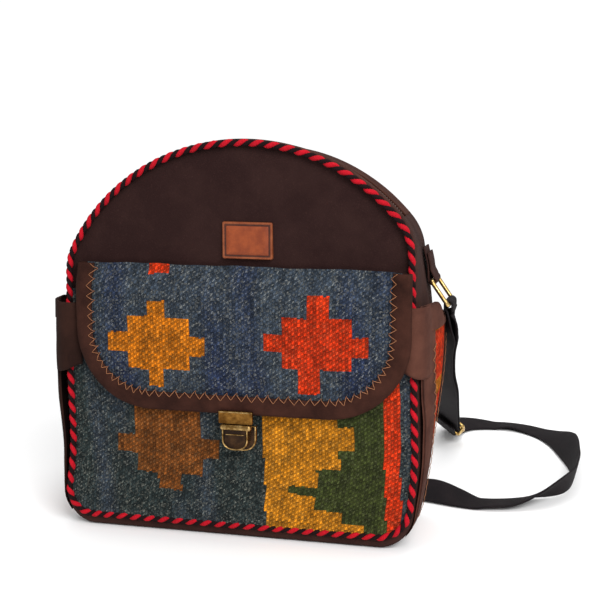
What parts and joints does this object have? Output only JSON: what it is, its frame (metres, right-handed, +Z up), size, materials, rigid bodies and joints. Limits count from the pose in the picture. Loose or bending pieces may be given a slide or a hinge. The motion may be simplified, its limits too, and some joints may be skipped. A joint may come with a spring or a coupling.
{
  "type": "kilim shoulder bag",
  "caption": "Arched woven shoulder bag with a flap pocket, brass tuck lock, side pockets, arched zip and an adjustable webbing strap",
  "frame": {"origin": "middle of the box of the bag's own pieces at the base plane, without the free strap", "axes": "+Z up, the front with flap and lock faces -Y, +X to the right as seen from the front"},
  "size_m": [0.3947, 0.3774, 0.2906],
  "materials": {
    "brown_suede": "matte napped suede",
    "brown_felt": "matte felt",
    "kilim": "weft-faced wool weave in slate, gold, orange, tan and green",
    "side_kilim": "weft-faced wool weave in orange",
    "seam_cord": "twisted two-colour wool cord",
    "tan_leather": "smooth tan leather, burnished edge",
    "zip_tape": "zip tape with moulded teeth",
    "antique_brass": "antiqued, satin",
    "black_webbing": "flat woven webbing"
  },
  "bodies": {
    "bag": {"side_band": "brown_suede", "front_panel": "brown_felt", "back_panel": "brown_felt", "arch_strip_front": "brown_suede", "arch_strip_back": "brown_suede", "zip_tape_front": "zip_tape", "zip_tape_back": "zip_tape", "seam_cord": "seam_cord", "front_pocket": "kilim", "flap": "kilim", "flap_binding": "brown_suede", "side_pocket_band_left": "brown_suede", "side_pocket_band_right": "brown_suede", "side_pocket_kilim_left": "side_kilim", "side_pocket_kilim_right": "side_kilim", "label_patch": "tan_leather", "lock_tongue_plate": "antique_brass", "lock_base_plate": "antique_brass", "lock_housing": "antique_brass", "ring_tab_left": "brown_suede", "ring_tab_right": "brown_suede", "webbing_running_layer": "black_webbing", "webbing_return_layer": "black_webbing", "webbing_run": "black_webbing"},
    "lock_button": {"lock_button": "antique_brass"},
    "zip_slider": {"zip_slider": "antique_brass"},
    "zip_pull": {"zip_pull": "antique_brass"},
    "ring_right": {"ring_right": "antique_brass", "webbing_fold_right": "black_webbing"},
    "ring_left": {"ring_left": "antique_brass", "webbing_fold_left": "black_webbing"},
    "strap_slider": {"strap_slider": "antique_brass", "webbing_sewn_end": "black_webbing"}
  },
  "joints": [
    {"name": "lock_button_press", "type": "slide", "parent": "bag", "child": "lock_button", "axis": [0, 1, 0], "range_m": [0, 0.0016], "stiffness_N_per_m": 400},
    {"name": "zip_run", "type": "hinge", "parent": "bag", "child": "zip_slider", "pos_m": [0.006, 0.01107, 0.1436], "axis": [0, 1, 0], "range_deg": [0, 100]},
    {"name": "zip_pull_swing", "type": "hinge", "parent": "zip_slider", "child": "zip_pull", "pos_m": [-0.11941, 0.01107, 0.22333], "axis": [0, 1, 0], "range_deg": [-4, 150]},
    {"name": "ring_right_swing", "type": "hinge", "parent": "bag", "child": "ring_right", "pos_m": [0.133, 0.03307, 0.187], "axis": [0, 1, 0], "range_deg": [-100, 8], "deforming": ["webbing_running_layer"]},
    {"name": "ring_left_swing", "type": "hinge", "parent": "bag", "child": "ring_left", "pos_m": [-0.133, 0.03307, 0.187], "axis": [0, 1, 0], "range_deg": [-8, 100], "deforming": ["webbing_run"]},
    {"name": "strap_adjust", "type": "slide", "parent": "bag", "child": "strap_slider", "axis": [0.0719, -0.8711, 0.4858], "range_m": [0, 0.05], "deforming": ["webbing_return_layer"]}
  ]
}
